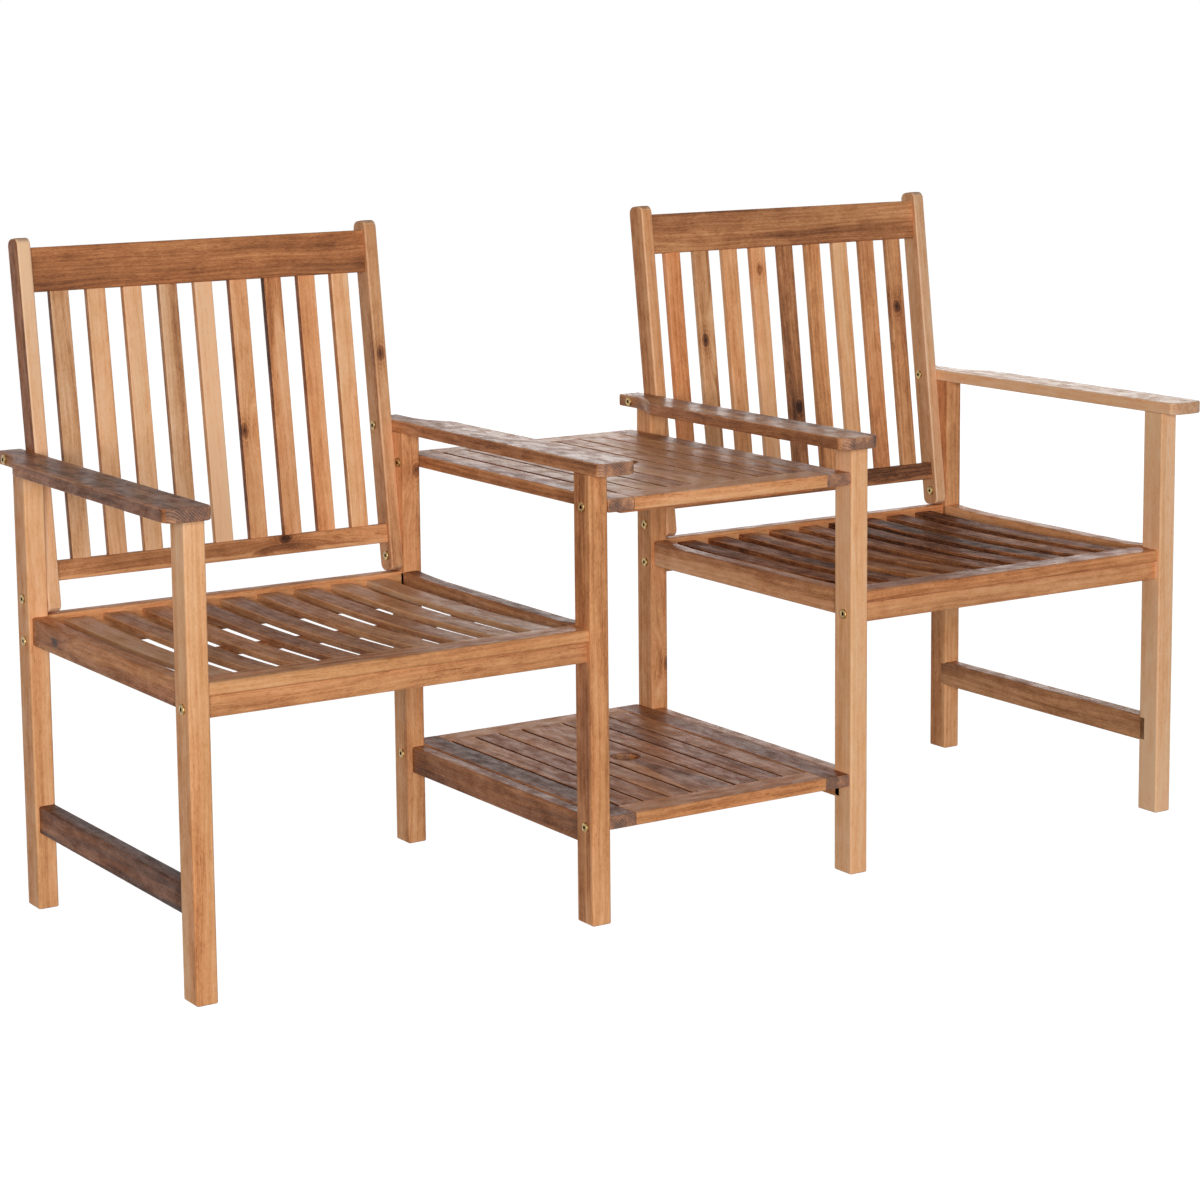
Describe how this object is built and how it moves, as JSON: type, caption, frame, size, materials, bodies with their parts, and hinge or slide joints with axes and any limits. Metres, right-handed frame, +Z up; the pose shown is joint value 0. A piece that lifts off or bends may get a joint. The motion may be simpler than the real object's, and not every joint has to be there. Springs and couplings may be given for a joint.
{
  "type": "companion seat bench",
  "caption": "Wooden companion seat: two slatted armchairs joined by a slatted centre table with an umbrella bore and a lower shelf, bolted together.",
  "frame": {"origin": "middle of the footprint, on the ground", "axes": "+X along the bench to the sitter's left (the viewer's right from the front), -Y to the front, +Z up"},
  "size_m": [1.731, 0.6368, 0.936],
  "materials": {
    "frame_wood": "oiled",
    "slat_wood": "oiled",
    "panel_wood": "oiled",
    "fasteners": "satin"
  },
  "bodies": {
    "root": {"left_outer_front_leg": "frame_wood", "left_outer_back_leg": "frame_wood", "left_outer_armrest": "frame_wood", "left_outer_seat_side_rail": "frame_wood", "left_outer_stretcher": "frame_wood", "left_inner_front_leg": "frame_wood", "left_inner_back_leg": "frame_wood", "left_inner_armrest": "frame_wood", "left_inner_seat_side_rail": "frame_wood", "left_inner_stretcher": "frame_wood", "right_inner_front_leg": "frame_wood", "right_inner_back_leg": "frame_wood", "right_inner_armrest": "frame_wood", "right_inner_seat_side_rail": "frame_wood", "right_inner_stretcher": "frame_wood", "right_outer_front_leg": "frame_wood", "right_outer_back_leg": "frame_wood", "right_outer_armrest": "frame_wood", "right_outer_seat_side_rail": "frame_wood", "right_outer_stretcher": "frame_wood", "left_chair_front_board": "frame_wood", "left_chair_front_apron": "frame_wood", "left_chair_back_rail": "frame_wood", "left_chair_seat_batten": "frame_wood", "left_chair_seat_slats": "slat_wood", "left_chair_left_back_post": "frame_wood", "left_chair_right_back_post": "frame_wood", "left_chair_back_top_rail": "frame_wood", "left_chair_back_bottom_rail": "frame_wood", "left_chair_back_slats": "slat_wood", "right_chair_front_board": "frame_wood", "right_chair_front_apron": "frame_wood", "right_chair_back_rail": "frame_wood", "right_chair_seat_batten": "frame_wood", "right_chair_seat_slats": "slat_wood", "right_chair_left_back_post": "frame_wood", "right_chair_right_back_post": "frame_wood", "right_chair_back_top_rail": "frame_wood", "right_chair_back_bottom_rail": "frame_wood", "right_chair_back_slats": "slat_wood", "table_left_stile": "panel_wood", "table_right_stile": "panel_wood", "table_front_rail": "panel_wood", "table_back_rail": "panel_wood", "table_middle_board": "panel_wood", "table_slats": "panel_wood", "table_cleats": "panel_wood", "shelf_left_stile": "panel_wood", "shelf_right_stile": "panel_wood", "shelf_front_rail": "panel_wood", "shelf_back_rail": "panel_wood", "shelf_middle_board": "panel_wood", "shelf_slats": "panel_wood", "shelf_cleats": "panel_wood", "seat_rail_bolts": "fasteners", "backrest_bolts": "fasteners", "panel_bolts": "fasteners", "sleeve_nuts": "fasteners", "barrel_nuts": "fasteners"}
  },
  "joints": []
}
